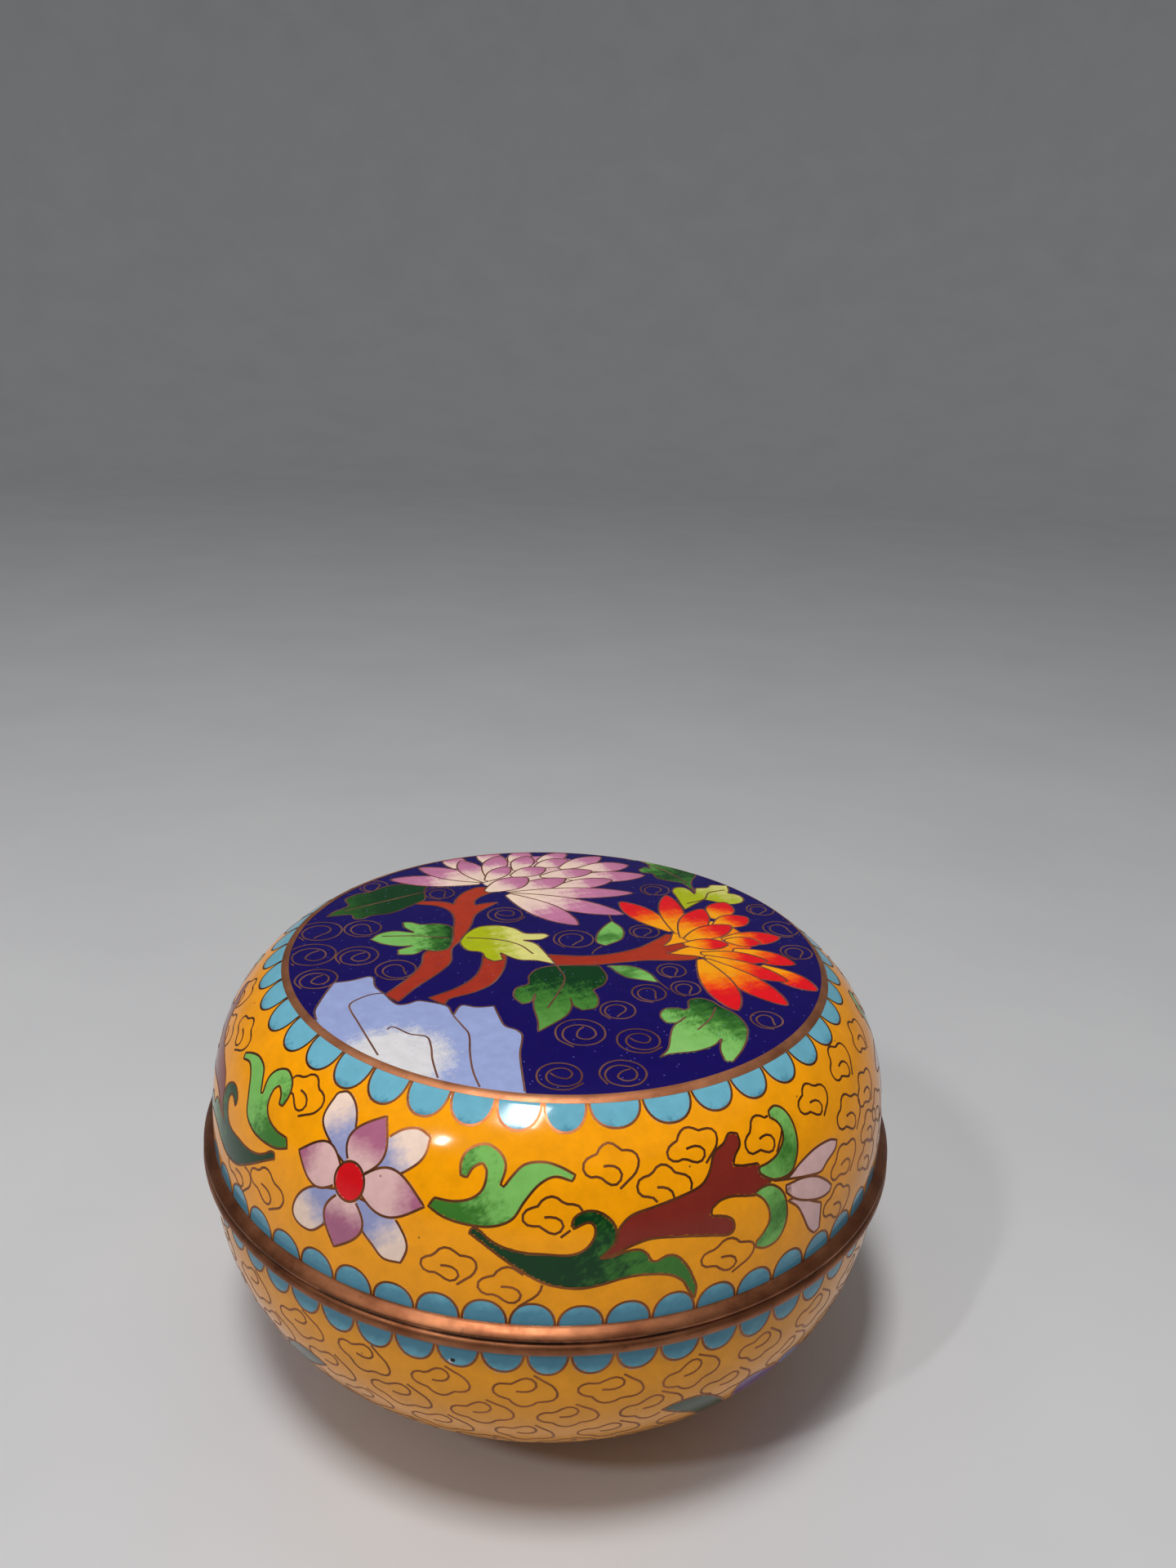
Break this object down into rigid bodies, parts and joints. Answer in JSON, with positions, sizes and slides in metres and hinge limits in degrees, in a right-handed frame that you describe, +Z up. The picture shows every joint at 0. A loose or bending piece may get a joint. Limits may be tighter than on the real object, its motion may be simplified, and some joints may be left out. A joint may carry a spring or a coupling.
{
  "type": "cloisonne enamel box",
  "caption": "Round enamelled copper box with a bulging side, a loose domed lid with copper bands, a lipped base and a foot ring.",
  "frame": {"origin": "centre of the foot ring's underside, on the table", "axes": "+Z up along the box's axis, -Y towards the side with the picture's lower edge"},
  "size_m": [0.1016, 0.1016, 0.0647],
  "materials": {
    "copper": "patinated copper, worn smooth",
    "yellow_enamel": "gloss, opaque",
    "cobalt_enamel": "gloss, opaque",
    "turquoise_enamel": "gloss, opaque"
  },
  "bodies": {
    "root": {"base_body": "copper", "base_side_enamel": "yellow_enamel", "base_underside_enamel": "turquoise_enamel", "base_lining": "turquoise_enamel", "base_rim": "copper", "foot_ring": "copper", "lid_body": "copper", "lid_side_enamel": "yellow_enamel", "lid_top_enamel": "cobalt_enamel", "lid_lining": "turquoise_enamel", "lid_top_ring": "copper", "lid_rim": "copper"}
  },
  "joints": []
}
